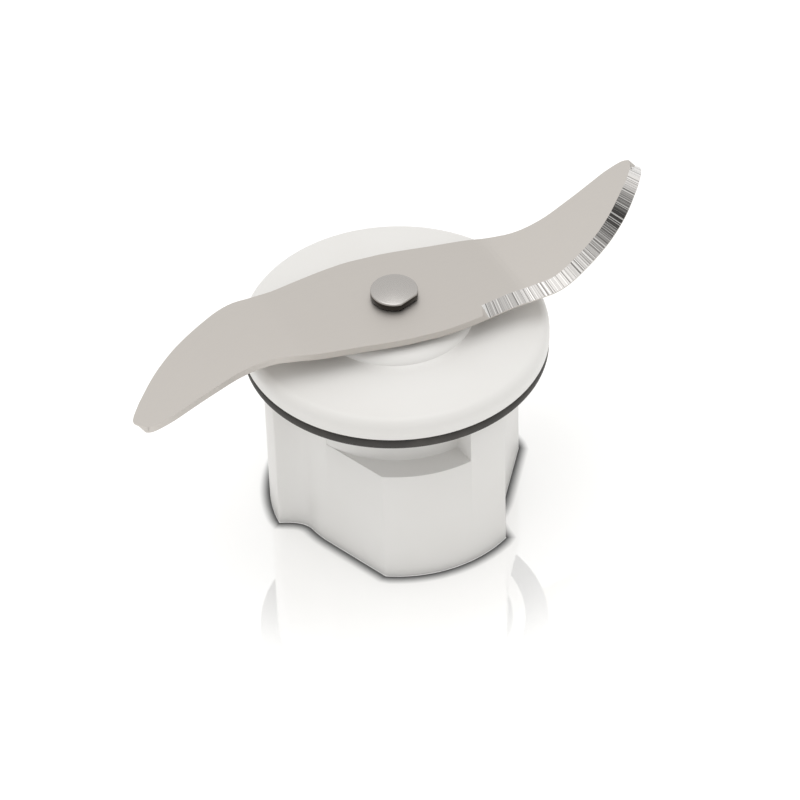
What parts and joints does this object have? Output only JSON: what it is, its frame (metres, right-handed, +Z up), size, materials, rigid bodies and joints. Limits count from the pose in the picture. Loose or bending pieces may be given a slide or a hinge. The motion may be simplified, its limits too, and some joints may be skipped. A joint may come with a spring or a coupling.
{
  "type": "blade unit",
  "caption": "Removable cutter base for a food-processor mill cup: lobed bayonet collar, domed cap with seal ring, S-shaped steel blade turning on a sealed spindle.",
  "frame": {"origin": "on the spindle axis, level with the foot of the collar", "axes": "+Z up along the spindle towards the blade, +X along the long side of the blade's plan as it is stored, the sharp corner of one lobe near -Y"},
  "size_m": [0.0968, 0.0662, 0.0532],
  "materials": {
    "white_plastic": "satin moulded white plastic",
    "black_rubber": "matt black rubber",
    "blade_steel": "satin stainless steel, cutting edges ground",
    "bright_steel": "turned stainless steel",
    "zinc_steel": "zinc-plated steel",
    "sintered_bronze": "oil-filled sintered bronze",
    "oil_felt": "oiled wool felt",
    "natural_nylon": "undyed nylon",
    "black_plastic": "matt black moulded plastic"
  },
  "bodies": {
    "housing": {"collar_body": "white_plastic", "flange_cap": "white_plastic", "seal_ring": "black_rubber", "cap_screw_1": "zinc_steel", "cap_screw_2": "zinc_steel", "cap_screw_3": "zinc_steel", "bearing_sleeve": "bright_steel", "lower_bush": "sintered_bronze", "upper_bush": "sintered_bronze", "oil_felt": "oil_felt", "shaft_lip_seal": "black_rubber", "sleeve_nut": "zinc_steel"},
    "rotor": {"blade": "blade_steel", "spindle": "bright_steel", "blade_washer": "bright_steel", "upper_thrust_washer": "natural_nylon", "lower_thrust_washer": "natural_nylon", "retaining_clip": "zinc_steel", "drive_coupling": "black_plastic", "coupling_insert": "bright_steel", "coupling_nut": "zinc_steel"}
  },
  "joints": [
    {"name": "blade_spin", "type": "hinge", "parent": "housing", "child": "rotor", "pos_m": [0, 0, 0], "axis": [0, 0, 1], "continuous": true}
  ]
}
